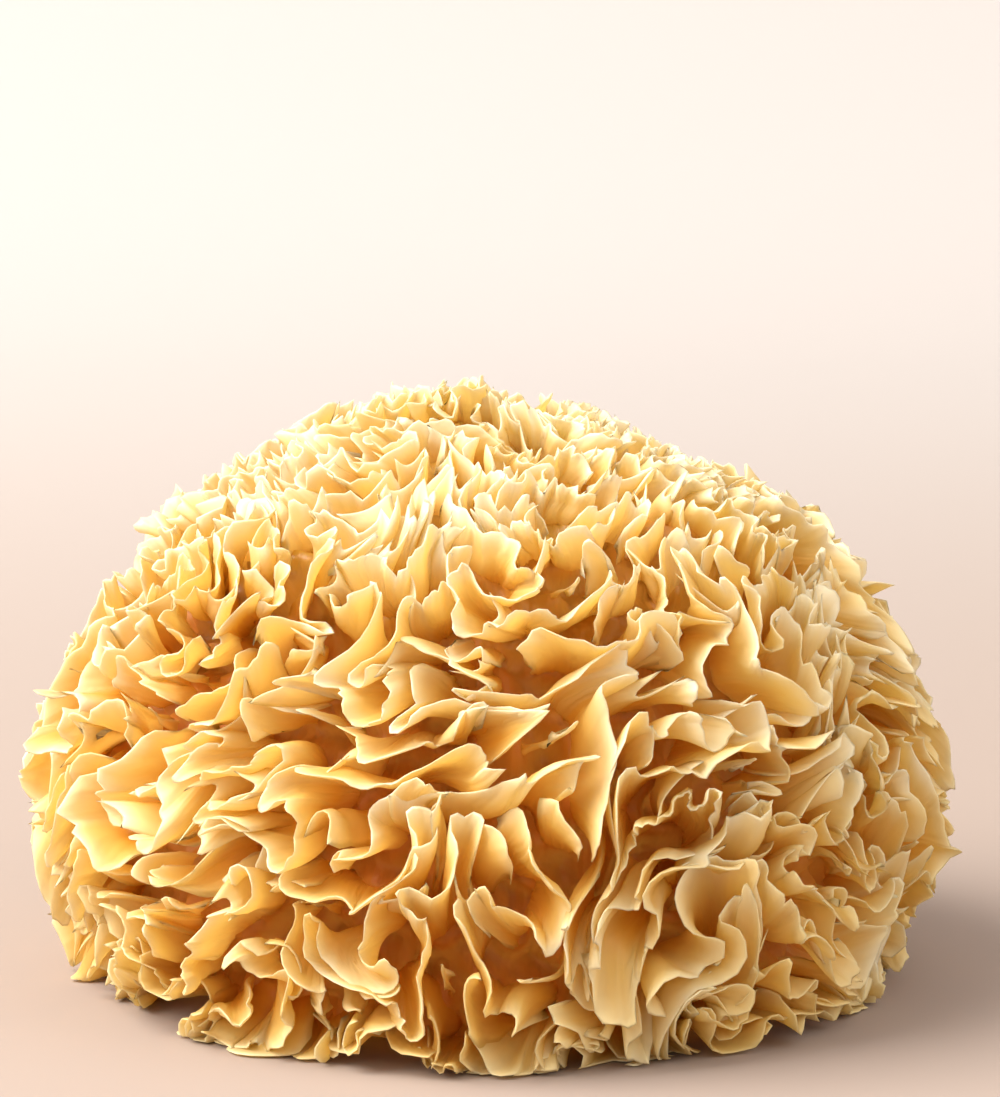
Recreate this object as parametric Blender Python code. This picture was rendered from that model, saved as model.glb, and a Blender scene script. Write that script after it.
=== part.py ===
"""Snow fungus (Tremella): one fruit body, a low dome of ruffled fronds, cut off flat at its base.

Metres, +Z up. The origin is on the surface that the fungus rests on, below the middle of its box.
The rims of the fronds are grown as lines on the dome: short arcs that lengthen and push each other
apart, and so fold into ruffles. The solid is one closed skin, with a crest along every rim and a
hollow between the crests.
"""

import math

import bmesh
import bpy
import numpy as np
from mathutils import Vector

MM = 0.001

# The dome, in millimetres: half an ellipsoid above its widest level and another below it.
RADIUS = 75.0
UPPER_AXIS = 69.0
LOWER_AXIS = 66.0
CENTRE = np.array([0.39, -0.34, 28.0])
LUMP_SHARE = 0.018
LUMP_WAVELENGTH = 55.0
# Dents in the dome: azimuth from +X and elevation in degrees, then width and depth in millimetres.
SHOULDERS = ((0.0, 60.0, 26.0, 2.0), (180.0, 55.0, 24.0, 1.0))
SWELLS = ((180.0, 68.0, 14.0, -2.6), (0.0, 66.0, 12.0, -1.6))
CLEFT = ((60.0, 78.0, 7.0, 6.0), (0.0, 83.0, 7.0, 6.5), (-72.0, 74.0, 8.0, 6.0))

# Growth of the rims. The spacing between rims falls from the sides to the top.
SEED = 7
FRONDS = 100
STEPS = 240
GROWTH = 0.02
LATE_STEPS = (50, 90, 130, 170)
LATE_GAP = 0.8
LATE_ARC = 6.0
LINK = 1.7
ARC_LENGTHS = (6.0, 20.0)
SIDE_SPACING = 7.6
TOP_SPACING = 4.8
TOP_HEIGHTS = (0.45, 0.85)
SPACING_SPREAD = 0.25
PAIR_REACH = 12.5
LOWEST_ANGLE = math.radians(-23.0)
STEP_LIMIT = 0.9
GRID = 4

# The fronds lean over: millimetres of swirl on the dome, and its wavelength.
LEANS = ((6.5, 46.0), (3.4, 19.0))
LEAN_STEPS = 5

# The solid's own points.
CREST_SPACING = 3.1
SMALL_LOBES_KEPT = 0.15
HOLLOW_SPACING = 3.6
HOLLOW_CLEARANCE = 2.2
HOLLOW_DEPTH = 1.1
BASE_SPACING = 9.0

COLOUR = (0.86, 0.62, 0.26, 1.0)
ROUGHNESS = 0.45



def unit(vectors):
    return vectors / np.sqrt((vectors * vectors).sum(-1, keepdims=True))


def waves(seed, wavelength, count=14):
    """A smooth random field over points in millimetres, from a sum of plain waves."""
    rng = np.random.default_rng(seed)
    ways = rng.normal(size=(count, 3))
    pace = 2 * math.pi / wavelength * rng.uniform(0.7, 1.4, count)
    ways *= (pace / np.sqrt((ways * ways).sum(1)))[:, None]
    phases = rng.uniform(0, 2 * math.pi, count)

    def field(points):
        total = np.zeros(points.shape[:-1])
        for (a, b, c), phase in zip(ways, phases):
            total += np.sin(a * points[..., 0] + b * points[..., 1] + c * points[..., 2] + phase)
        return total * math.sqrt(2 / count)

    return field


def slope_of_waves(seed, wavelength, count=14):
    """The slope of a smooth random field, scaled to about one: its swirl on the dome opens no gaps."""
    rng = np.random.default_rng(seed)
    ways = unit(rng.normal(size=(count, 3)))
    pace = 2 * math.pi / wavelength * rng.uniform(0.7, 1.4, count)
    phases = rng.uniform(0, 2 * math.pi, count)

    def slope(points):
        total = np.zeros(points.shape)
        for way, rate, phase in zip(ways, pace, phases):
            (a, b, c) = way * rate
            wave = np.cos(a * points[..., 0] + b * points[..., 1] + c * points[..., 2] + phase)
            total += wave[..., None] * way
        return total * math.sqrt(6 / count)

    return slope


LEAN_SLOPES = [(lean, slope_of_waves(21 + k, wavelength)) for k, (lean, wavelength) in enumerate(LEANS)]


def spacing_at(height):
    """The distance that rims keep, by height on the unit sphere."""
    share = np.clip((height - TOP_HEIGHTS[0]) / (TOP_HEIGHTS[1] - TOP_HEIGHTS[0]), 0, 1)
    return SIDE_SPACING + (TOP_SPACING - SIDE_SPACING) * share * share * (3 - 2 * share)


def arc_at(foot, length, rng):
    """A short bent arc on the unit sphere, turned at random."""
    along = unit(np.cross(foot, unit(rng.normal(size=3))))
    count = max(4, int(length / LINK))
    s = (np.arange(count) - (count - 1) / 2) * LINK / RADIUS
    bend = np.cross(foot, along) * (rng.normal(scale=6.0) * s**2)[:, None]
    return unit(foot + along * s[:, None] + bend)


def spiral(count, top, low):
    """Directions spread evenly between two heights on the unit sphere."""
    z = top - (top - low) * (np.arange(count) + 0.5) / count
    turn = math.pi * (3 - math.sqrt(5)) * np.arange(count)
    flat = np.sqrt(1 - z * z)
    return np.stack([flat * np.cos(turn), flat * np.sin(turn), z], 1)


def nearest(ways, others, block=500):
    """The distance in millimetres from each direction to the nearest of the others."""
    found = []
    for start in range(0, len(ways), block):
        some = ways[start : start + block]
        dots = sum(some[:, k : k + 1] * others[None, :, k] for k in range(3))
        found.append(np.arccos(np.clip(dots.max(1), -1, 1)) * RADIUS)
    return np.concatenate(found)


def late_arcs(points, rng):
    """New arcs at the middle of the widest gaps between the rims."""
    spots = spiral(3000, 1, math.sin(LOWEST_ANGLE))
    gap = nearest(spots, unit(points)) / spacing_at(spots[:, 2])
    chosen = []
    for at in np.argsort(-gap, kind="stable"):
        if gap[at] < LATE_GAP:
            break
        spot = spots[at]
        if all(math.acos(min(1, float(spot @ other))) * RADIUS > 1.3 * spacing_at(spot[2]) for other in chosen):
            chosen.append(spot)
    return [arc_at(spot, LATE_ARC, rng) for spot in chosen]


def first_arcs(rng):
    """Short arcs on the unit sphere, each turned at random: the feet of the fronds, closer at the top."""
    heights = np.linspace(1, math.sin(LOWEST_ANGLE), 4001)
    density = 1 / spacing_at(heights) ** 2
    count_above = np.concatenate([[0], np.cumsum(density[1:] + density[:-1])])
    golden_angle = math.pi * (3 - math.sqrt(5))
    arcs = []
    for i in range(FRONDS):
        z = np.interp((i + 0.5) / FRONDS, count_above / count_above[-1], heights)
        flat = math.sqrt(1 - z * z)
        foot = np.array([flat * math.cos(golden_angle * i), flat * math.sin(golden_angle * i), z])
        size = spacing_at(z) / SIDE_SPACING
        foot = unit(foot + rng.normal(scale=0.025 * size, size=3))
        arcs.append(arc_at(foot, rng.uniform(*ARC_LENGTHS) * size, rng))
    return arcs


def pairs_within(points, reach, block=1000):
    """Index pairs of points on the unit sphere that are nearer than reach, in millimetres."""
    limit = math.cos(reach / RADIUS)
    found = []
    for start in range(0, len(points), block):
        some = points[start : start + block]
        dots = sum(some[:, k : k + 1] * points[None, :, k] for k in range(3))
        i, j = np.nonzero(dots > limit)
        found.append(np.stack([i + start, j], 1))
    return np.concatenate(found)


def lengthen(points, curve, rng, pace):
    """New points in the middle of the links that grow, and the places where they went in."""
    same = curve[1:] == curve[:-1]
    gap = np.sqrt(((points[1:] - points[:-1]) ** 2).sum(1))
    rate = GROWTH * np.clip(1 + 0.5 * pace(points[:-1]), 0.3, 2.0)
    grows = same & (rng.random(len(same)) < rate) & (gap > 0.8 * LINK)
    grows |= same & (gap > 1.7 * LINK)
    at = np.nonzero(grows)[0] + 1
    points = np.insert(points, at, (points[at - 1] + points[at]) / 2, 0)
    return points, np.insert(curve, at, curve[at]), at


def pushes(points, curve, pairs, unevenness):
    """Each point is pushed off the rims that come nearer than the spacing there."""
    uneven = np.clip(1 + SPACING_SPREAD * unevenness(points), 0.65, 1.5)
    reach = spacing_at(points[:, 2] / RADIUS) * uneven
    i, j = pairs[:, 0], pairs[:, 1]
    apart = (curve[i] != curve[j]) | (np.abs(i - j) > 3)
    i, j = i[apart], j[apart]
    way = points[i] - points[j]
    distance = np.sqrt((way * way).sum(1)) + 1e-9
    share = np.clip(1 - 2 * distance / (reach[i] + reach[j]), 0, 1)
    way *= (share / distance)[:, None]
    return np.stack([np.bincount(i, way[:, k], minlength=len(points)) for k in range(3)], 1)


def pulls(points, curve):
    """Springs that keep each link's length, and the pull towards a smooth line."""
    same = curve[1:] == curve[:-1]
    link = points[1:] - points[:-1]
    length = np.sqrt((link * link).sum(1)) + 1e-9
    pull = np.where(same, (length - LINK) / length, 0)[:, None] * link
    spring = np.zeros_like(points)
    spring[:-1] += pull
    spring[1:] -= pull
    middle = np.nonzero(same[1:] & same[:-1])[0] + 1
    smooth = np.zeros_like(points)
    smooth[middle] = (points[middle - 1] + points[middle + 1]) / 2 - points[middle]
    return 0.3 * spring + 0.5 * smooth


def grow_rims():
    """The grown rims: the frond that each point belongs to, and the point on the unit sphere."""
    rng = np.random.default_rng(SEED)
    arcs = first_arcs(rng)
    points = np.concatenate(arcs) * RADIUS
    curve = np.concatenate([np.full(len(arc), i) for i, arc in enumerate(arcs)])
    unevenness, pace = waves(3, 30.0), waves(5, 24.0)
    low = math.sin(LOWEST_ANGLE)
    for step in range(STEPS):
        if step in LATE_STEPS:
            for arc in late_arcs(points, rng):
                curve = np.concatenate([curve, np.full(len(arc), curve[-1] + 1)])
                points = np.concatenate([points, arc * RADIUS])
        points, curve, at = lengthen(points, curve, rng, pace)
        if step % 10 == 0:
            pairs = pairs_within(unit(points), PAIR_REACH)
        else:
            old = np.arange(len(points) - len(at))
            pairs = (old + np.searchsorted(at, old, side="right"))[pairs]
        move = 0.6 * pushes(points, curve, pairs, unevenness) + pulls(points, curve)
        size = np.sqrt((move * move).sum(1, keepdims=True)) + 1e-9
        points = unit(points + move * np.minimum(1, STEP_LIMIT / size))
        z = points[:, 2]
        points[:, 2] = np.where(z < low, low + 0.35 * (low - z), z)
        points = np.round(unit(points) * RADIUS, GRID)
    return curve, unit(points)


def dent(ways, azimuth, elevation, width, depth):
    """The loss of reach, in millimetres, along each direction, from one round dent."""
    across, up = math.radians(azimuth), math.radians(elevation)
    middle = (math.cos(up) * math.cos(across), math.cos(up) * math.sin(across), math.sin(up))
    away = sum((ways[..., k] - middle[k]) ** 2 for k in range(3)) * RADIUS**2
    return depth * np.exp(-away / width**2)


def reach_of(ways):
    """How far the dome reaches from its centre, in millimetres, along each direction."""
    flat = ways[..., 0] ** 2 + ways[..., 1] ** 2
    axis = np.where(ways[..., 2] < 0, LOWER_AXIS, UPPER_AXIS)
    dome = 1 / np.sqrt(flat / RADIUS**2 + ways[..., 2] ** 2 / axis**2)
    dome = dome * (1 + LUMP_SHARE * waves(11, LUMP_WAVELENGTH)(ways * RADIUS))
    return dome - sum(dent(ways, *one) for one in SHOULDERS + SWELLS + CLEFT)


def leaned(ways, outward):
    """Directions carried along by a swirl on the sphere, for longer the further out they are."""
    for _ in range(LEAN_STEPS):
        slope = sum(lean * slope_at(ways * RADIUS) for lean, slope_at in LEAN_SLOPES)
        ways = unit(ways + np.cross(ways, slope) * (outward / RADIUS / LEAN_STEPS)[..., None])
    return ways


def noise_along(rng, s, wavelength, count=5):
    """Smooth random values along a line, about -1 to 1."""
    total = np.zeros_like(s)
    for _ in range(count):
        total += np.sin(2 * math.pi * s / (wavelength * rng.uniform(0.7, 1.5)) + rng.uniform(0, 2 * math.pi))
    return total * math.sqrt(2 / count) / 1.4


def rim_drop(s, length, size, rng):
    """How far the rim lies below the dome at each distance s along it."""
    crown = np.clip((1 - size) / (1 - TOP_SPACING / SIDE_SPACING), 0, 1)
    hills = np.abs(noise_along(rng, s, 28 * size))
    peaks = hills**2 / (0.06 + 0.5 * crown + hills) * 2.2 * size
    notch = np.clip(1 - np.abs(noise_along(rng, s, 22 * size)) * 1.6, 0, 1) ** 3 * 1.3 * size
    turns = math.pi * s / (rng.uniform(7.0, 11.0) * size) + 0.9 * noise_along(rng, s, 16 * size)
    lobes = (1 - np.abs(np.sin(turns))) * (0.8 + 1.4 * crown) * size
    turns = math.pi * s / rng.uniform(3.0, 4.5) + 0.8 * noise_along(rng, s, 11)
    frill = (1 - np.abs(np.sin(turns))) * 0.3
    tips = np.clip(noise_along(rng, s, 20 * size) - 0.55, 0, 1) * 2.4 * size * (1 - crown)
    to_end = np.clip(np.minimum(s, length - s) / (5.0 * size), 0, 1)
    rounded = 1 - np.sqrt(1 - (1 - to_end) ** 2)
    small = SMALL_LOBES_KEPT * (lobes + frill)
    return peaks + notch + small + 5.0 * size * rounded + rng.uniform(0, 1.5) * size - tips


def flutter_of(s, size, rng):
    """How far the rim swings sideways at each distance s along it."""
    return noise_along(rng, s, 13 * size) * 1.9 * size


def crests(curve, points):
    """Points in millimetres from the dome's centre, evenly along every rim."""
    found = []
    for frond in range(curve[-1] + 1):
        rim = points[curve == frond]
        for _ in range(8):
            rim[1:-1] = (rim[:-2] + 2 * rim[1:-1] + rim[2:]) / 4
        steps = np.sqrt((np.diff(rim, axis=0) ** 2).sum(1)) * RADIUS
        s = np.concatenate([[0], np.cumsum(steps)])
        at = np.linspace(0, s[-1], max(3, round(s[-1] / CREST_SPACING) + 1))
        ways = unit(np.stack([np.interp(at, s, rim[:, k]) for k in range(3)], 1))
        sizes = spacing_at(ways[:, 2]) / SIDE_SPACING
        size = float(sizes.mean())
        rng = np.random.default_rng([SEED, 1000 + frond])
        drop = rim_drop(at, s[-1], size, rng)
        sideways = flutter_of(at, size, rng)
        ways = leaned(ways, sizes**1.5)
        across = unit(np.cross(ways, np.gradient(ways, axis=0)))
        found.append(ways * (reach_of(ways) - drop)[:, None] + across * sideways[:, None])
    return np.concatenate(found)


def hollows(crest_ways):
    """Points in millimetres from the dome's centre, between the rims and clear of all of them."""
    low = math.sin(LOWEST_ANGLE)
    area = 2 * math.pi * (1 - low) * RADIUS**2
    ways = spiral(int(area / HOLLOW_SPACING**2), 1, low)
    ways = ways[nearest(ways, crest_ways) > HOLLOW_CLEARANCE * spacing_at(ways[:, 2]) / SIDE_SPACING]
    depth = HOLLOW_DEPTH * spacing_at(ways[:, 2])
    return ways * (reach_of(ways) - depth)[:, None]


def base():
    """Points of the flat base, in millimetres from the dome's centre."""
    top = math.sin(LOWEST_ANGLE) - 0.05
    rim = -CENTRE[2] / top
    ways = spiral(int(math.pi * rim**2 / BASE_SPACING**2), top, -0.999)
    return ways * (-CENTRE[2] / ways[:, 2])[:, None]


def skin_points():
    """Every point of the solid's skin, in millimetres, set so that its box is centred on the origin."""
    crest_points = crests(*grow_rims())
    points = np.concatenate([crest_points, hollows(unit(crest_points)), base()])
    points[:, 2] = np.maximum(points[:, 2], -CENTRE[2])
    return points


def closed_skin(name, points):
    """A mesh over the points: the hull of their directions from the centre, each then moved out to its place."""
    shape = bmesh.new()
    for way in unit(points):
        shape.verts.new(Vector(way))
    shape.verts.index_update()
    bmesh.ops.convex_hull(shape, input=shape.verts)
    for vertex in shape.verts:
        vertex.co = Vector(points[vertex.index] + CENTRE) * MM
    bmesh.ops.triangulate(shape, faces=shape.faces)
    bmesh.ops.recalc_face_normals(shape, faces=shape.faces)
    mesh = bpy.data.meshes.new(name)
    shape.to_mesh(mesh)
    shape.free()
    return mesh


def flesh():
    material = bpy.data.materials.new("fungus_flesh")
    material.use_nodes = True
    shader = material.node_tree.nodes["Principled BSDF"]
    shader.inputs["Base Color"].default_value = COLOUR
    shader.inputs["Roughness"].default_value = ROUGHNESS
    shader.inputs["Metallic"].default_value = 0.0
    return material


def main():
    for old in list(bpy.data.objects):
        bpy.data.objects.remove(old)
    collection = bpy.data.collections.new("Snow fungus")
    bpy.context.scene.collection.children.link(collection)
    mesh = closed_skin("snow_fungus", skin_points())
    mesh.materials.append(flesh())
    collection.objects.link(bpy.data.objects.new("snow_fungus", mesh))


main()
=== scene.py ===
"""Snow fungus, visual model: ruffled fronds grown as thin translucent sheets on a soft body.

Lengths in this script are millimetres unless a name says otherwise; meshes are made in metres.
The rims of the fronds are grown as lines on a dome, as in the CAD model: short arcs lengthen and
push each other apart, and fold. The stages of that growth, laid outwards from the body to the
dome, are the sheets.
"""

import math

import bpy
import numpy as np
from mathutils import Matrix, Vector

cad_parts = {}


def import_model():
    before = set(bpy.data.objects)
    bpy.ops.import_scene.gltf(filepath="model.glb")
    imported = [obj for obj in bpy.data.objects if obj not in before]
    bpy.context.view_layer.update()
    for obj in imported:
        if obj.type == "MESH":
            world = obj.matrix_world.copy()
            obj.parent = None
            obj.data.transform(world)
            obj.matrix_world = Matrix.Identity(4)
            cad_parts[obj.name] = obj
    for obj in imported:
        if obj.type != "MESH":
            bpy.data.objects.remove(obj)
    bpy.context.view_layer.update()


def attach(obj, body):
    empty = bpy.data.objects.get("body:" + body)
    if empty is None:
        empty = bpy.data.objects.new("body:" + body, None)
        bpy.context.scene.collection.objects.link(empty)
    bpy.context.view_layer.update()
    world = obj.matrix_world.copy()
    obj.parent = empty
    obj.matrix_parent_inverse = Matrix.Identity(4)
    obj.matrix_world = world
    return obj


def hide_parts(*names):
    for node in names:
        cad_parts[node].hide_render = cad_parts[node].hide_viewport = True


MM = 0.001

# The dome.
RADIUS = 75.0
CENTRE = np.array([0.39, -0.34, 28.0])
UPPER_AXIS = 69.0
LOWER_AXIS = 66.0
LUMP_SHARE = 0.018
LUMP_WAVELENGTH = 55.0
SHOULDERS = ((0.0, 60.0, 26.0, 2.0), (180.0, 55.0, 24.0, 1.0))
SWELLS = ((180.0, 68.0, 14.0, -2.6), (0.0, 66.0, 12.0, -1.6))
CLEFT = ((60.0, 78.0, 7.0, 6.0), (0.0, 83.0, 7.0, 6.5), (-72.0, 74.0, 8.0, 6.0))

# Growth of the rims.
SEED = 7
FRONDS = 100
STEPS = 240
LAYERS = 16
GROWTH = 0.02
LATE_STEPS = (50, 90, 130, 170)
LATE_GAP = 0.8
LATE_ARC = 6.0
LATE_CLEAR = 1.3
LINK = 1.7
ARC_LENGTHS = (6.0, 20.0)
SIDE_SPACING = 7.6
TOP_SPACING = 4.8
TOP_HEIGHTS = (0.45, 0.85)
SPACING_SPREAD = 0.25
PAIR_REACH = 12.5
LOWEST_ANGLE = math.radians(-23.0)
STEP_LIMIT = 0.9
GRID = 4

# Rims: wavelengths and heights, each in proportion to the spacing of the fronds.
HILLS = (28, 2.2)
NOTCHES = (22, 1.6, 1.3)
LOBES = ((7.0, 11.0), 0.8, 1.4)
FRILL = ((3.0, 4.5), 0.55)
TIPS = (20, 0.55, 1.9)
ENDS = (5.0, 1.5)
FLUTTER = (13, 1.9)
FINE_FLUTTER = (4.5, 0.4)

# Sheets.
COLUMN = 0.85
ROWS = 14
DEPTH_PER_SPACING = 2.0
FOLD_KEPT = 0.8
FIRST_LAYER = 7.0
LEANS = ((6.5, 46.0), (3.4, 19.0))
LEAN_STEPS = 5
HALF_THICKNESS = 0.2
RIM_PROFILE = (0, 0.65, 0.9)
THICKER_BY = 6.0
FLOOR_ZONE = 1.5
FLOOR_CLEARANCE = 0.4
WALL_SPACING = 1.5
WALL_REACH = (0.55, 1.5)
WALL_SKEW = 0.5
WALL_BULGE = 0.45
WALL_SKIPS = 8
WALL_POINTS = 7
LOW_FRILLS = 56
CROWN_HEIGHT = 0.72
CUT_DEPTH = 7.0
CUT_SPREAD = 2.0
FOLD_LIMIT = 0.25
RELAX_PASSES = 12

# The flesh: its cream-to-amber colours by share of the way from rim to foot, paler at the rims as painted
# highlight and darker deeper in as painted shade between the fronds, clouded a little, and the light let
# through.
DEEPEST = 16.0
# Paler at the rim as painted highlight; darker amber and red-orange further down as painted shade in the
# pockets between the fronds.
FLESH_LIGHT_AND_SHADE_BY_DEPTH = (
    (0.0, (0.99, 0.93, 0.70, 1)),
    (0.10, (0.98, 0.86, 0.51, 1)),
    (0.32, (0.95, 0.71, 0.24, 1)),
    (0.60, (0.90, 0.46, 0.05, 1)),
    (1.0, (0.74, 0.20, 0.01, 1)),
)
THROUGH_COLOUR = (0.99, 0.83, 0.38, 1)
CLOUD_WAVELENGTH = 16.0
CLOUD_SHIFT = 0.7
# Painted shade: the flesh turns more amber the lower it sits on the dome, and paler at the crown.
LOW_SHADE_SHIFT = 2.3
LOW_SHADE_HEIGHT = 75.0
VEIN_SCALE = 0.55
VEIN_STRETCH = 0.22
VEIN_HEIGHT_M = 0.0008
COAT = (0.25, 0.18)
ROUGHNESS = (0.3, 0.6)
THIN_TO = 2.5
LET_THROUGH = (0.3, 0.58)

# The studio, in metres: the backdrop, the lights and the camera.
FLOOR_COLOUR = (0.395, 0.315, 0.275, 1)
WALL_COLOUR = (0.63, 0.59, 0.575, 1)
COLOUR_CHANGE = (0.1, 1.1)
WALL_AT = 1.6
BEND = 0.8
FRONT_EDGE = -3.0
WALL_TOP = 3.0
HALF_WIDTH = 4.0
AIR_COLOUR = (1.0, 0.95, 0.90, 1)
AIR_LIGHT = 0.84
LIGHT_TARGET = (0, 0, 0.05)
LIGHTS = (
    ("key", (-1.05, -0.2, 1.25), 1.3, 51, (1, 0.965, 0.90)),
    ("side", (-0.9, -0.6, 0.5), 0.6, 2.5, (1, 0.96, 0.90)),
    ("fill", (1.2, -0.6, 0.9), 0.9, 5.5, (1, 0.94, 0.86)),
)
LENS = 162
CAMERA_TILT = math.radians(9)
CAMERA_TARGET = (0.0016, 0, 0.070)
CAMERA_DISTANCE = 0.8


def unit(vectors):
    return vectors / np.sqrt((vectors * vectors).sum(-1, keepdims=True))


def waves(seed, wavelength, count=14):
    """A smooth random field over points in millimetres, from a sum of plain waves."""
    rng = np.random.default_rng(seed)
    ways = rng.normal(size=(count, 3))
    pace = 2 * math.pi / wavelength * rng.uniform(0.7, 1.4, count)
    ways *= (pace / np.sqrt((ways * ways).sum(1)))[:, None]
    phases = rng.uniform(0, 2 * math.pi, count)

    def field(points):
        total = np.zeros(points.shape[:-1])
        for (a, b, c), phase in zip(ways, phases):
            total += np.sin(a * points[..., 0] + b * points[..., 1] + c * points[..., 2] + phase)
        return total * math.sqrt(2 / count)

    return field


def spacing_at(height):
    """The distance that rims keep, by height on the unit sphere."""
    share = np.clip((height - TOP_HEIGHTS[0]) / (TOP_HEIGHTS[1] - TOP_HEIGHTS[0]), 0, 1)
    return SIDE_SPACING + (TOP_SPACING - SIDE_SPACING) * share * share * (3 - 2 * share)


def arc_at(foot, length, rng):
    """A short bent arc on the unit sphere, turned at random."""
    along = unit(np.cross(foot, unit(rng.normal(size=3))))
    count = max(4, int(length / LINK))
    s = (np.arange(count) - (count - 1) / 2) * LINK / RADIUS
    bend = np.cross(foot, along) * (rng.normal(scale=6.0) * s**2)[:, None]
    return unit(foot + along * s[:, None] + bend)


def spiral(count, top, low):
    """Directions spread evenly between two heights on the unit sphere."""
    z = top - (top - low) * (np.arange(count) + 0.5) / count
    turn = math.pi * (3 - math.sqrt(5)) * np.arange(count)
    flat = np.sqrt(1 - z * z)
    return np.stack([flat * np.cos(turn), flat * np.sin(turn), z], 1)


def nearest(ways, others, block=500):
    """The distance in millimetres from each direction to the nearest of the others."""
    found = []
    for start in range(0, len(ways), block):
        some = ways[start : start + block]
        dots = sum(some[:, k : k + 1] * others[None, :, k] for k in range(3))
        found.append(np.arccos(np.clip(dots.max(1), -1, 1)) * RADIUS)
    return np.concatenate(found)


def late_arcs(points, rng):
    """New arcs at the middle of the widest gaps between the rims."""
    spots = spiral(3000, 1, math.sin(LOWEST_ANGLE))
    gap = nearest(spots, unit(points)) / spacing_at(spots[:, 2])
    chosen = []
    for at in np.argsort(-gap, kind="stable"):
        if gap[at] < LATE_GAP:
            break
        spot = spots[at]
        clear = LATE_CLEAR * spacing_at(spot[2])
        if all(math.acos(min(1, float(spot @ other))) * RADIUS > clear for other in chosen):
            chosen.append(spot)
    return [arc_at(spot, LATE_ARC, rng) for spot in chosen]


def first_arcs(rng):
    """Short arcs on the unit sphere, each turned at random: the feet of the fronds, closer at the top."""
    heights = np.linspace(1, math.sin(LOWEST_ANGLE), 4001)
    density = 1 / spacing_at(heights) ** 2
    count_above = np.concatenate([[0], np.cumsum(density[1:] + density[:-1])])
    golden_angle = math.pi * (3 - math.sqrt(5))
    arcs = []
    for i in range(FRONDS):
        z = np.interp((i + 0.5) / FRONDS, count_above / count_above[-1], heights)
        flat = math.sqrt(1 - z * z)
        foot = np.array([flat * math.cos(golden_angle * i), flat * math.sin(golden_angle * i), z])
        size = spacing_at(z) / SIDE_SPACING
        foot = unit(foot + rng.normal(scale=0.025 * size, size=3))
        arcs.append(arc_at(foot, rng.uniform(*ARC_LENGTHS) * size, rng))
    return arcs


def pairs_within(points, reach, block=1000):
    """Index pairs of points on the unit sphere that are nearer than reach, in millimetres."""
    limit = math.cos(reach / RADIUS)
    found = []
    for start in range(0, len(points), block):
        some = points[start : start + block]
        dots = sum(some[:, k : k + 1] * points[None, :, k] for k in range(3))
        i, j = np.nonzero(dots > limit)
        found.append(np.stack([i + start, j], 1))
    return np.concatenate(found)


def lengthen(points, curve, along, rng, pace):
    """New points in the middle of the links that grow, and the places where they went in."""
    same = curve[1:] == curve[:-1]
    gap = np.sqrt(((points[1:] - points[:-1]) ** 2).sum(1))
    rate = GROWTH * np.clip(1 + 0.5 * pace(points[:-1]), 0.3, 2.0)
    grows = same & (rng.random(len(same)) < rate) & (gap > 0.8 * LINK)
    grows |= same & (gap > 1.7 * LINK)
    at = np.nonzero(grows)[0] + 1
    points = np.insert(points, at, (points[at - 1] + points[at]) / 2, 0)
    along = np.insert(along, at, (along[at - 1] + along[at]) / 2)
    return points, np.insert(curve, at, curve[at]), along, at


def pushes(points, curve, pairs, unevenness):
    """Each point is pushed off the rims that come nearer than the spacing there."""
    uneven = np.clip(1 + SPACING_SPREAD * unevenness(points), 0.65, 1.5)
    reach = spacing_at(points[:, 2] / RADIUS) * uneven
    i, j = pairs[:, 0], pairs[:, 1]
    apart = (curve[i] != curve[j]) | (np.abs(i - j) > 3)
    i, j = i[apart], j[apart]
    way = points[i] - points[j]
    distance = np.sqrt((way * way).sum(1)) + 1e-9
    share = np.clip(1 - 2 * distance / (reach[i] + reach[j]), 0, 1)
    way *= (share / distance)[:, None]
    return np.stack([np.bincount(i, way[:, k], minlength=len(points)) for k in range(3)], 1)


def pulls(points, curve):
    """Springs that keep each link's length, and the pull towards a smooth line."""
    same = curve[1:] == curve[:-1]
    link = points[1:] - points[:-1]
    length = np.sqrt((link * link).sum(1)) + 1e-9
    pull = np.where(same, (length - LINK) / length, 0)[:, None] * link
    spring = np.zeros_like(points)
    spring[:-1] += pull
    spring[1:] -= pull
    middle = np.nonzero(same[1:] & same[:-1])[0] + 1
    smooth = np.zeros_like(points)
    smooth[middle] = (points[middle - 1] + points[middle + 1]) / 2 - points[middle]
    return 0.3 * spring + 0.5 * smooth


def grow_rims():
    """The rims' stages of growth: for each, the frond of every point, its place along it and the point."""
    rng = np.random.default_rng(SEED)
    arcs = first_arcs(rng)
    points = np.concatenate(arcs) * RADIUS
    curve = np.concatenate([np.full(len(arc), i) for i, arc in enumerate(arcs)])
    along = np.concatenate([np.linspace(0, 1, len(arc)) for arc in arcs])
    unevenness, pace = waves(3, 30.0), waves(5, 24.0)
    low = math.sin(LOWEST_ANGLE)
    stages = []
    for step in range(STEPS):
        if step % (STEPS // LAYERS) == 0:
            stages.append((curve, along, unit(points)))
        if step in LATE_STEPS:
            for arc in late_arcs(points, rng):
                curve = np.concatenate([curve, np.full(len(arc), curve[-1] + 1)])
                along = np.concatenate([along, np.linspace(0, 1, len(arc))])
                points = np.concatenate([points, arc * RADIUS])
        points, curve, along, at = lengthen(points, curve, along, rng, pace)
        if step % 10 == 0:
            pairs = pairs_within(unit(points), PAIR_REACH)
        else:
            old = np.arange(len(points) - len(at))
            pairs = (old + np.searchsorted(at, old, side="right"))[pairs]
        move = 0.6 * pushes(points, curve, pairs, unevenness) + pulls(points, curve)
        size = np.sqrt((move * move).sum(1, keepdims=True)) + 1e-9
        points = unit(points + move * np.minimum(1, STEP_LIMIT / size))
        z = points[:, 2]
        points[:, 2] = np.where(z < low, low + 0.35 * (low - z), z)
        points = np.round(unit(points) * RADIUS, GRID)
    stages.append((curve, along, unit(points)))
    return stages


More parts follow.
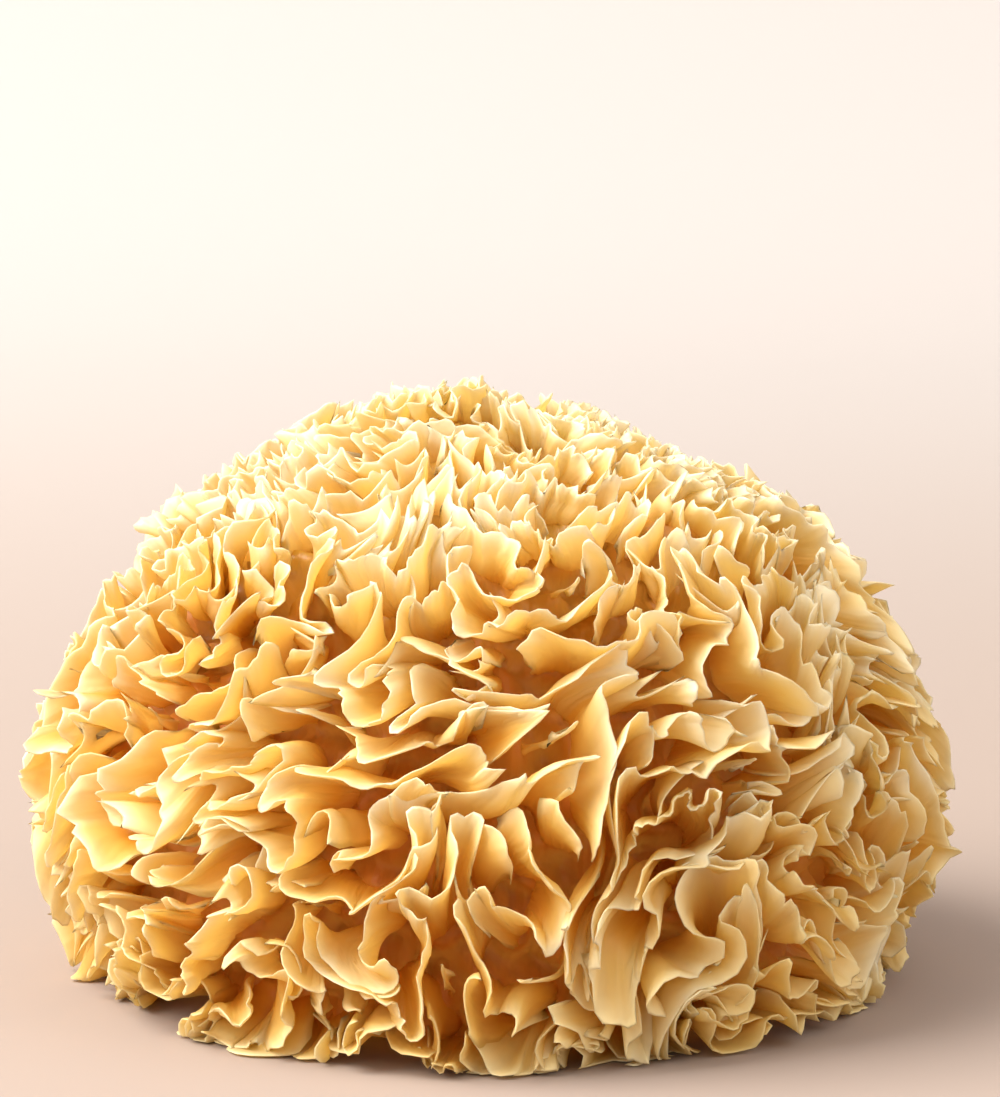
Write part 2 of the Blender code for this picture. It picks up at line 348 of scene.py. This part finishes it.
def dent(ways, azimuth, elevation, width, depth):
    """The loss of reach, in millimetres, along each direction, from one round dent."""
    across, up = math.radians(azimuth), math.radians(elevation)
    middle = (math.cos(up) * math.cos(across), math.cos(up) * math.sin(across), math.sin(up))
    away = sum((ways[..., k] - middle[k]) ** 2 for k in range(3)) * RADIUS**2
    return depth * np.exp(-away / width**2)


def reach_of(ways):
    """How far the dome reaches from its centre, in millimetres, along each direction."""
    flat = ways[..., 0] ** 2 + ways[..., 1] ** 2
    axis = np.where(ways[..., 2] < 0, LOWER_AXIS, UPPER_AXIS)
    dome = 1 / np.sqrt(flat / RADIUS**2 + ways[..., 2] ** 2 / axis**2)
    dome = dome * (1 + LUMP_SHARE * waves(11, LUMP_WAVELENGTH)(ways * RADIUS))
    return dome - sum(dent(ways, *one) for one in SHOULDERS + SWELLS + CLEFT)


def slope_of_waves(seed, wavelength, count=14):
    """The slope of a smooth random field, scaled to about one: its swirl on the dome opens no gaps."""
    rng = np.random.default_rng(seed)
    ways = unit(rng.normal(size=(count, 3)))
    pace = 2 * math.pi / wavelength * rng.uniform(0.7, 1.4, count)
    phases = rng.uniform(0, 2 * math.pi, count)

    def slope(points):
        total = np.zeros(points.shape)
        for way, rate, phase in zip(ways, pace, phases):
            (a, b, c) = way * rate
            wave = np.cos(a * points[..., 0] + b * points[..., 1] + c * points[..., 2] + phase)
            total += wave[..., None] * way
        return total * math.sqrt(6 / count)

    return slope


CLOUD = waves(51, CLOUD_WAVELENGTH)
LEAN_SLOPES = [(lean, slope_of_waves(21 + k, wavelength)) for k, (lean, wavelength) in enumerate(LEANS)]


def leaned(ways, outward):
    """Directions carried along by a swirl on the sphere, for longer the further out they are."""
    for _ in range(LEAN_STEPS):
        slope = sum(lean * slope_at(ways * RADIUS) for lean, slope_at in LEAN_SLOPES)
        ways = unit(ways + np.cross(ways, slope) * (outward / RADIUS / LEAN_STEPS)[..., None])
    return ways


def noise_along(rng, s, wavelength, count=5):
    """Smooth random values along a line, about -1 to 1."""
    total = np.zeros_like(s)
    for _ in range(count):
        length = wavelength * rng.uniform(0.7, 1.5)
        total += np.sin(2 * math.pi * s / length + rng.uniform(0, 2 * math.pi))
    return total * math.sqrt(2 / count) / 1.4


def smoothed(rows, passes):
    for _ in range(passes):
        inner = (rows[:, :-2] + 2 * rows[:, 1:-1] + rows[:, 2:]) / 4
        rows = np.concatenate([rows[:, :1], inner, rows[:, -1:]], 1)
    return rows


def rim_drop(s, length, size, rng):
    """How far the rim lies below the dome at each distance s along it."""
    crown = np.clip((1 - size) / (1 - TOP_SPACING / SIDE_SPACING), 0, 1)
    hills = np.abs(noise_along(rng, s, HILLS[0] * size))
    peaks = hills**2 / (0.06 + 0.5 * crown + hills) * HILLS[1] * size
    narrow = np.abs(noise_along(rng, s, NOTCHES[0] * size)) * NOTCHES[1]
    notch = np.clip(1 - narrow, 0, 1) ** 3 * NOTCHES[2] * size
    turns = math.pi * s / (rng.uniform(*LOBES[0]) * size) + 0.9 * noise_along(rng, s, 16 * size)
    lobes = (1 - np.abs(np.sin(turns))) * (LOBES[1] + LOBES[2] * crown) * size
    turns = math.pi * s / rng.uniform(*FRILL[0]) + 0.8 * noise_along(rng, s, 11)
    frill = (1 - np.abs(np.sin(turns))) * FRILL[1]
    high = np.clip(noise_along(rng, s, TIPS[0] * size) - TIPS[1], 0, 1)
    tips = high * TIPS[2] * size * (1 - crown)
    to_end = np.clip(np.minimum(s, length - s) / (ENDS[0] * size), 0, 1)
    rounded = (1 - np.sqrt(1 - (1 - to_end) ** 2)) * ENDS[0] * size
    return peaks + notch + lobes + frill + rounded + rng.uniform(0, ENDS[1]) * size - tips


def flutter_of(s, size, rng):
    """How far the rim swings sideways at each distance s along it."""
    return noise_along(rng, s, FLUTTER[0] * size) * FLUTTER[1] * size


def sheet(stages, rng, saddle=None):
    """One frond's middle surface: a grid of points from rim to foot, and how far down each lies.

    A cross wall gives saddle, the drop of its rim at its ends and halfway, and has no flutter of its own.
    """
    top = stages[-1]
    steps = np.sqrt((np.diff(top, axis=0) ** 2).sum(1)) * RADIUS
    s_raw = np.concatenate([[0], np.cumsum(steps)])
    length = s_raw[-1]
    count = max(10, int(length / COLUMN))
    s = np.linspace(0, length, count)
    grid = []
    for layer in stages:
        grid.append(np.stack([np.interp(s, s_raw, layer[:, k]) for k in range(3)], 1))
    grid = np.stack(grid)
    if saddle is None:
        grid = unit(smoothed(grid, 8))
    spacing = spacing_at(grid[-1][:, 2])
    size = float(spacing.mean() / SIDE_SPACING)
    depth = DEPTH_PER_SPACING * spacing
    if saddle is None:
        drop = rim_drop(s, length, size, rng)
    else:
        drop = saddle[0] + (saddle[1] - saddle[0]) * np.sin(math.pi * s / length)
    drop = np.minimum(drop, 0.75 * depth)
    share = np.linspace(0, 1, ROWS) ** 1.5
    down = share[:, None] * (depth - drop)[None]
    level = 1 - (down + drop) / depth
    layer = FIRST_LAYER + (len(stages) - 1 - FIRST_LAYER) * np.clip(level, 0, 1) ** FOLD_KEPT
    lower = np.clip(layer.astype(int), 0, len(stages) - 2)
    part = (layer - lower)[..., None]
    column = np.broadcast_to(np.arange(count), layer.shape)
    ways = unit(grid[lower, column] * (1 - part) + grid[lower + 1, column] * part)
    ways = leaned(ways, np.clip(level, 0, 1) ** 1.3 * (spacing / SIDE_SPACING) ** 1.5)
    points = ways * (reach_of(ways) - down - drop)[..., None]
    across = unit(np.cross(np.gradient(points, axis=1), np.gradient(points, axis=0)) + 1e-12)
    if saddle is None:
        sideways = flutter_of(s, size, rng)[None] * np.exp(-down / (6.0 * size))
        fine = noise_along(rng, s, FINE_FLUTTER[0])[None] * FINE_FLUTTER[1]
        sideways = sideways + fine * np.exp(-down / 2.5)
        points = points + across * sideways[..., None]
    points = points + CENTRE
    z = points[..., 2]
    give = FLOOR_ZONE - FLOOR_CLEARANCE
    flattened = FLOOR_CLEARANCE + give * np.exp(np.minimum((z - FLOOR_ZONE) / give, 0))
    points[..., 2] = np.where(z < FLOOR_ZONE, flattened, z)
    points = relaxed(points)
    values = {"down": down, "along": np.broadcast_to(s, down.shape), "cloud": tone_and_low_shade_at(points)}
    return points, values


def cell_normals(points):
    """The direction that each cell of a grid of points faces."""
    one = points[1:, 1:] - points[:-1, :-1]
    other = points[:-1, 1:] - points[1:, :-1]
    return unit(np.cross(one, other) + 1e-12)


def tone_and_low_shade_at(points):
    """How much more amber the flesh is at each point than its depth alone would make it, in millimetres.

    A random cloud of tone, plus painted shade: the lower a point sits on the dome, the more amber it is
    made, and the crown is paler.
    """
    return CLOUD_SHIFT * CLOUD(points) + LOW_SHADE_SHIFT * (1 - points[..., 2] / LOW_SHADE_HEIGHT)


def relaxed(points):
    """The grid with its sharpest folds opened.

    Where neighbouring cells face apart, their points move towards the points around them.
    """
    rows, count = points.shape[:2]
    for _ in range(RELAX_PASSES):
        flat = cell_normals(points)
        folded = np.zeros((rows, count), bool)
        along = (flat[:, 1:] * flat[:, :-1]).sum(-1) < FOLD_LIMIT
        folded[:-1, 1:-1] |= along
        folded[1:, 1:-1] |= along
        outward = (flat[1:] * flat[:-1]).sum(-1) < FOLD_LIMIT
        folded[1:-1, :-1] |= outward
        folded[1:-1, 1:] |= outward
        wide = np.pad(points, ((1, 1), (1, 1), (0, 0)), mode="edge")
        around = (wide[:-2, 1:-1] + wide[2:, 1:-1] + wide[1:-1, :-2] + wide[1:-1, 2:]) / 4
        points = np.where(folded[..., None], 0.4 * points + 0.6 * around, points)
    return points


def shell(points, down):
    """A closed thin sheet about a middle surface: vertices, quads and the grid point of each vertex."""
    rows, count = points.shape[:2]
    across = np.cross(np.gradient(points, axis=1), np.gradient(points, axis=0))
    across = unit(across + 1e-12)
    for _ in range(2):
        inner = across[:, :-2] + 2 * across[:, 1:-1] + across[:, 2:]
        across = unit(np.concatenate([across[:, :1], inner, across[:, -1:]], 1))
    profile = np.ones((rows, count))
    for row, share in enumerate(RIM_PROFILE):
        profile[row] = share
    profile[-1] = 0
    profile[:, 0] = profile[:, -1] = 0
    half = HALF_THICKNESS * profile * (1 + down / THICKER_BY)
    flat = cell_normals(points)
    for _ in range(4):
        offset = across * half[..., None]
        front_turned = (cell_normals(points + offset) * flat).sum(-1) < 0.2
        back_turned = (cell_normals(points - offset) * flat).sum(-1) < 0.2
        turned = front_turned | back_turned
        tight = np.zeros((rows, count), bool)
        tight[:-1, :-1] |= turned
        tight[1:, :-1] |= turned
        tight[:-1, 1:] |= turned
        tight[1:, 1:] |= turned
        half = np.where(tight, 0.5 * half, half)
    offset = across * half[..., None]
    front = np.arange(rows * count).reshape(rows, count)
    back = front + rows * count
    border = np.zeros((rows, count), bool)
    border[0] = border[-1] = border[:, 0] = border[:, -1] = True
    back = np.where(border, front, back)
    vertices = np.concatenate([(points + offset).reshape(-1, 3), (points - offset).reshape(-1, 3)])
    corners = (front[:-1, :-1], front[:-1, 1:], front[1:, 1:], front[1:, :-1])
    faces = np.stack(corners, -1).reshape(-1, 4)
    corners = (back[:-1, :-1], back[1:, :-1], back[1:, 1:], back[:-1, 1:])
    faces = np.concatenate([faces, np.stack(corners, -1).reshape(-1, 4)])
    used = np.zeros(len(vertices), bool)
    used[faces] = True
    renumbered = np.cumsum(used) - 1
    source = np.concatenate([np.arange(rows * count)] * 2)[used]
    return vertices[used], renumbered[faces], source


def set_attributes(mesh, attributes):
    for key, values in attributes.items():
        layer = mesh.attributes.new(key, "FLOAT", "POINT")
        layer.data.foreach_set("value", values.astype(np.float32))


def mesh_object(name, vertices, quads, attributes):
    mesh = bpy.data.meshes.new(name)
    mesh.vertices.add(len(vertices))
    mesh.vertices.foreach_set("co", (vertices * MM).astype(np.float32).ravel())
    mesh.loops.add(len(quads) * 4)
    mesh.loops.foreach_set("vertex_index", quads.astype(np.int32).ravel())
    mesh.polygons.add(len(quads))
    mesh.polygons.foreach_set("loop_start", np.arange(0, len(quads) * 4, 4, dtype=np.int32))
    mesh.update(calc_edges=True)
    mesh.validate()
    mesh.shade_smooth()
    set_attributes(mesh, attributes)
    piece = bpy.data.objects.new(name, mesh)
    bpy.context.scene.collection.objects.link(piece)
    return piece


def frond_histories():
    """For every frond, its rim at each stage of growth, always with the same number of points."""
    stages = grow_rims()
    curve, along = stages[-1][:2]
    histories = []
    for frond in range(curve[-1] + 1):
        places = along[curve == frond]
        history = []
        for stage_curve, stage_along, stage_points in reversed(stages):
            mine = stage_curve == frond
            if mine.any():
                mine_points = stage_points[mine]
                columns = [np.interp(places, stage_along[mine], mine_points[:, k]) for k in range(3)]
                shape = np.stack(columns, 1)
            history.insert(0, shape)
        histories.append(np.stack(history))
    return histories


def cross_walls(histories):
    """Short walls between neighbouring rims, which close the long furrows into pockets."""
    rng = np.random.default_rng([SEED, 5])
    rims = np.concatenate([history[-1] for history in histories])
    owner = np.concatenate([np.full(history.shape[1], i) for i, history in enumerate(histories)])
    index = np.concatenate([np.arange(history.shape[1]) for history in histories])
    walls = []
    taken = []
    for at in rng.permutation(len(rims)):
        here = rims[at]
        too_near = math.cos(WALL_SPACING * spacing_at(here[2]) / RADIUS)
        if taken and (np.stack(taken) @ here).max() > too_near:
            continue
        link = rims[min(at + 1, len(rims) - 1)] - rims[max(at - 1, 0)]
        away = rims - here
        distance = np.sqrt((away * away).sum(1)) * RADIUS + 1e-9
        sideways = np.abs(away @ unit(link + 1e-12)) * RADIUS / distance
        reach = spacing_at(here[2])
        fits = (distance > WALL_REACH[0] * reach) & (distance < WALL_REACH[1] * reach)
        fits &= sideways < WALL_SKEW
        fits &= (owner != owner[at]) | (np.abs(index - index[at]) > WALL_SKIPS)
        if not fits.any():
            continue
        other = np.nonzero(fits)[0][np.argmin(distance[fits])]
        start = histories[owner[at]][:, index[at]]
        stop = histories[owner[other]][:, index[other]]
        share = np.linspace(0, 1, WALL_POINTS)[None, :, None]
        swell = np.sin(math.pi * share) * rng.uniform(-WALL_BULGE, WALL_BULGE)
        bulge = np.cross(start, stop - start)[:, None] * swell
        walls.append(unit(start[:, None] * (1 - share) + stop[:, None] * share + bulge))
        taken.append(unit(here + rims[other]))
    return walls


def low_frills(stages):
    """Short fronds along the foot of the dome, where the rims leave the floor bare."""
    rng = np.random.default_rng([SEED, 6])
    frills = []
    turns = np.linspace(0, 2 * math.pi, LOW_FRILLS, endpoint=False)
    for turn in turns + rng.uniform(-0.03, 0.03, LOW_FRILLS):
        up = LOWEST_ANGLE + rng.uniform(-0.01, 0.05)
        foot = np.array([math.cos(up) * math.cos(turn), math.cos(up) * math.sin(turn), math.sin(up)])
        level_way = np.array([-math.sin(turn), math.cos(turn), 0.0])
        slope = rng.uniform(-0.8, 0.8)
        way = level_way * math.cos(slope) + np.cross(foot, level_way) * math.sin(slope)
        s = np.linspace(-0.5, 0.5, 12) * rng.uniform(9.0, 15.0)
        bend = np.cross(foot, way) * (1.5 * np.sin(s * rng.uniform(0.4, 0.7)) / RADIUS)[:, None]
        arc = unit(foot + way * (s / RADIUS)[:, None] + bend)
        frills.append(np.stack([arc] * stages))
    return frills


def build_fronds():
    histories = frond_histories()
    frills = low_frills(len(histories[0]))
    walls = cross_walls(histories)
    groups = {}
    feet = []
    for frond, history in enumerate(histories + walls + frills):
        rng = np.random.default_rng([SEED, 1000 + frond])
        saddle = None
        if len(histories) <= frond < len(histories) + len(walls):
            size = spacing_at(history[-1, 0, 2]) / SIDE_SPACING
            saddle = (rng.uniform(1.2, 3.0) * size, rng.uniform(3.0, 6.0) * size)
        points, values = sheet(history, rng, saddle)
        if saddle is None:
            feet.append(points[-1])
        vertices, quads, source = shell(points, values["down"])
        middle = unit(history[-1].mean(0))
        if middle[2] > CROWN_HEIGHT:
            key = "crown"
        else:
            turn = (math.atan2(middle[1], middle[0]) + math.pi) / (2 * math.pi)
            key = "side_%d" % int(turn * 4.999)
        values = {name: value.ravel()[source] for name, value in values.items()}
        groups.setdefault(key, []).append((vertices, quads, values))
    pieces = []
    for key, parts in sorted(groups.items()):
        start = np.cumsum([0] + [len(part[0]) for part in parts])
        vertices = np.concatenate([part[0] for part in parts])
        quads = np.concatenate([part[1] + first for part, first in zip(parts, start)])
        attributes = {name: np.concatenate([part[2][name] for part in parts]) for name in parts[0][2]}
        pieces.append(mesh_object("fronds_" + key, vertices, quads, attributes))
    return pieces, np.concatenate(feet)


def build_body(feet):
    """The soft body that the fronds stand on: it swells where each frond's foot enters it."""
    foot_ways = unit(feet - CENTRE)
    bpy.ops.mesh.primitive_uv_sphere_add(segments=256, ring_count=128, radius=1)
    body = bpy.context.object
    body.name = "fungus_body"
    count = len(body.data.vertices)
    ways = np.empty(count * 3)
    body.data.vertices.foreach_get("co", ways)
    ways = unit(ways.reshape(-1, 3))
    gap = nearest(ways, foot_ways)
    depth = DEPTH_PER_SPACING * spacing_at(ways[:, 2])
    lumps = 1 - np.abs(waves(31, 12.0)(ways * RADIUS))
    open_share = np.clip((gap - 2.5) / 4.0, 0, 1)
    reach = reach_of(ways) - depth + 2.6 * np.exp(-((gap / 1.6) ** 2)) + 1.3 * lumps - 3.0 * open_share
    low = ways[:, 2] < -0.1
    to_floor = np.where(low, -CENTRE[2] / np.where(low, ways[:, 2], -1), 2 * RADIUS)
    cut = reach > to_floor
    points = ways * np.minimum(reach, to_floor)[:, None] + CENTRE
    points[cut, 2] = 0
    # The flat base is coloured as if CUT_DEPTH millimetres down: amber painted shade where it meets the
    # floor.
    depth = np.where(cut, CUT_DEPTH + CUT_SPREAD * waves(41, 6.0)(points), depth)
    body.data.vertices.foreach_set("co", (points * MM).ravel())
    body.data.shade_smooth()
    around = np.arctan2(ways[:, 1], ways[:, 0]) * RADIUS
    set_attributes(body.data, {"down": depth, "along": around, "cloud": tone_and_low_shade_at(points)})
    return body


def attribute_node(nodes, name):
    node = nodes.new("ShaderNodeAttribute")
    node.attribute_name = name
    return node


def flesh():
    """Pale cream at the rims as painted highlight, yellow on the faces, red-orange at the feet as painted
    shade deep between the fronds, more amber low on the dome as painted shade, and letting light through.
    """
    material = bpy.data.materials.new("fungus_flesh")
    material.use_nodes = True
    nodes, links = material.node_tree.nodes, material.node_tree.links
    shader = nodes["Principled BSDF"]
    shader.inputs["Coat Weight"].default_value = COAT[0]
    shader.inputs["Coat Roughness"].default_value = COAT[1]
    # One attribute holds both a random cloud of tone and the painted shade low on the dome; it shifts the
    # colour and the roughness.
    down, cloud, along = (attribute_node(nodes, name) for name in ("down", "cloud", "along"))
    drift = nodes.new("ShaderNodeMath")
    drift.operation = "ADD"
    links.new(cloud.outputs["Fac"], drift.inputs[0])
    links.new(down.outputs["Fac"], drift.inputs[1])
    share = nodes.new("ShaderNodeMapRange")
    share.inputs["From Max"].default_value = DEEPEST
    links.new(drift.outputs[0], share.inputs["Value"])
    ramp = nodes.new("ShaderNodeValToRGB")
    links.new(share.outputs[0], ramp.inputs[0])
    ramp.color_ramp.elements[0].color = FLESH_LIGHT_AND_SHADE_BY_DEPTH[0][1]
    ramp.color_ramp.elements[1].color = FLESH_LIGHT_AND_SHADE_BY_DEPTH[-1][1]
    for at, colour in FLESH_LIGHT_AND_SHADE_BY_DEPTH[1:-1]:
        ramp.color_ramp.elements.new(at).color = colour
    # The base colour: painted highlight at the rims and painted shade deeper down, by the depth attribute.
    links.new(ramp.outputs[0], shader.inputs["Base Color"])
    roughness = nodes.new("ShaderNodeMapRange")
    roughness.inputs["From Min"].default_value = -1.5 * CLOUD_SHIFT
    roughness.inputs["From Max"].default_value = 1.5 * CLOUD_SHIFT
    roughness.inputs["To Min"].default_value = ROUGHNESS[0]
    roughness.inputs["To Max"].default_value = ROUGHNESS[1]
    links.new(cloud.outputs["Fac"], roughness.inputs["Value"])
    links.new(roughness.outputs[0], shader.inputs["Roughness"])
    vein_place = nodes.new("ShaderNodeCombineXYZ")
    links.new(along.outputs["Fac"], vein_place.inputs["X"])
    outward = nodes.new("ShaderNodeMath")
    outward.operation = "MULTIPLY"
    outward.inputs[1].default_value = VEIN_STRETCH
    links.new(down.outputs["Fac"], outward.inputs[0])
    links.new(outward.outputs[0], vein_place.inputs["Y"])
    links.new(cloud.outputs["Fac"], vein_place.inputs["Z"])
    veins = nodes.new("ShaderNodeTexNoise")
    veins.inputs["Scale"].default_value = VEIN_SCALE
    veins.inputs["Detail"].default_value = 1.0
    links.new(vein_place.outputs[0], veins.inputs["Vector"])
    bump = nodes.new("ShaderNodeBump")
    bump.inputs["Strength"].default_value = 0.6
    bump.inputs["Distance"].default_value = VEIN_HEIGHT_M
    links.new(veins.outputs["Fac"], bump.inputs["Height"])
    links.new(bump.outputs[0], shader.inputs["Normal"])
    through = nodes.new("ShaderNodeBsdfTranslucent")
    through.inputs["Color"].default_value = THROUGH_COLOUR
    links.new(bump.outputs[0], through.inputs["Normal"])
    thin = nodes.new("ShaderNodeMapRange")
    thin.inputs["From Max"].default_value = THIN_TO
    thin.inputs["To Min"].default_value = LET_THROUGH[0]
    thin.inputs["To Max"].default_value = LET_THROUGH[1]
    links.new(down.outputs["Fac"], thin.inputs["Value"])
    mix = nodes.new("ShaderNodeMixShader")
    links.new(thin.outputs[0], mix.inputs[0])
    links.new(shader.outputs[0], mix.inputs[1])
    links.new(through.outputs[0], mix.inputs[2])
    links.new(mix.outputs[0], nodes["Material Output"].inputs["Surface"])
    return material


def facing(place, target):
    """The turn that points a lamp or a camera at place towards target."""
    return (Vector(target) - Vector(place)).to_track_quat("-Z", "Y").to_euler()


def area(name, place, size, power, colour):
    light = bpy.data.lights.new(name, "AREA")
    light.size = size
    light.energy = power
    light.color = colour
    lamp = bpy.data.objects.new(name, light)
    bpy.context.scene.collection.objects.link(lamp)
    lamp.location = place
    lamp.rotation_euler = facing(place, LIGHT_TARGET)


def stage():
    """A pale sweep: a floor that curves up into a wall behind."""
    profile = [(FRONT_EDGE, 0.0), (WALL_AT - BEND, 0.0)]
    for k in range(1, 13):
        turn = math.pi / 2 * k / 12
        profile.append((WALL_AT - BEND + BEND * math.sin(turn), BEND - BEND * math.cos(turn)))
    profile.append((WALL_AT, WALL_TOP))
    mesh = bpy.data.meshes.new("backdrop")
    verts = [(x, y, z) for y, z in profile for x in (-HALF_WIDTH, HALF_WIDTH)]
    faces = [(2 * k, 2 * k + 1, 2 * k + 3, 2 * k + 2) for k in range(len(profile) - 1)]
    mesh.from_pydata(verts, [], faces)
    mesh.shade_smooth()
    backdrop = bpy.data.objects.new("backdrop", mesh)
    bpy.context.scene.collection.objects.link(backdrop)
    material = bpy.data.materials.new("backdrop")
    material.use_nodes = True
    nodes, links = material.node_tree.nodes, material.node_tree.links
    shader = nodes["Principled BSDF"]
    shader.inputs["Roughness"].default_value = 0.9
    place = nodes.new("ShaderNodeTexCoord")
    parts = nodes.new("ShaderNodeSeparateXYZ")
    links.new(place.outputs["Object"], parts.inputs[0])
    back = nodes.new("ShaderNodeMapRange")
    back.interpolation_type = "SMOOTHSTEP"
    back.inputs["From Min"].default_value = COLOUR_CHANGE[0]
    back.inputs["From Max"].default_value = COLOUR_CHANGE[1]
    links.new(parts.outputs["Y"], back.inputs["Value"])
    ramp = nodes.new("ShaderNodeValToRGB")
    ramp.color_ramp.elements[0].color = FLOOR_COLOUR
    ramp.color_ramp.elements[1].color = WALL_COLOUR
    links.new(back.outputs[0], ramp.inputs[0])
    links.new(ramp.outputs[0], shader.inputs["Base Color"])
    mesh.materials.append(material)
    return backdrop


def light_and_camera():
    world = bpy.data.worlds.new("studio")
    bpy.context.scene.world = world
    world.use_nodes = True
    air = world.node_tree.nodes["Background"]
    air.inputs["Color"].default_value = AIR_COLOUR
    air.inputs["Strength"].default_value = AIR_LIGHT
    for name, place, size, power, colour in LIGHTS:
        area(name, place, size, power, colour)
    camera = bpy.data.cameras.new("camera")
    holder = bpy.data.objects.new("camera", camera)
    bpy.context.scene.collection.objects.link(holder)
    bpy.context.scene.camera = holder
    camera.lens = LENS
    camera.sensor_width = 36
    away = Vector((0, -math.cos(CAMERA_TILT), math.sin(CAMERA_TILT)))
    holder.location = Vector(CAMERA_TARGET) + away * CAMERA_DISTANCE
    holder.rotation_euler = facing(holder.location, CAMERA_TARGET)
    bpy.context.scene.view_settings.view_transform = "Standard"


def main():
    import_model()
    pieces, feet = build_fronds()
    material = flesh()
    for piece in pieces + [build_body(feet)]:
        piece.data.materials.append(material)
        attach(piece, "root")
        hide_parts("snow_fungus")
    stage()
    light_and_camera()


main()
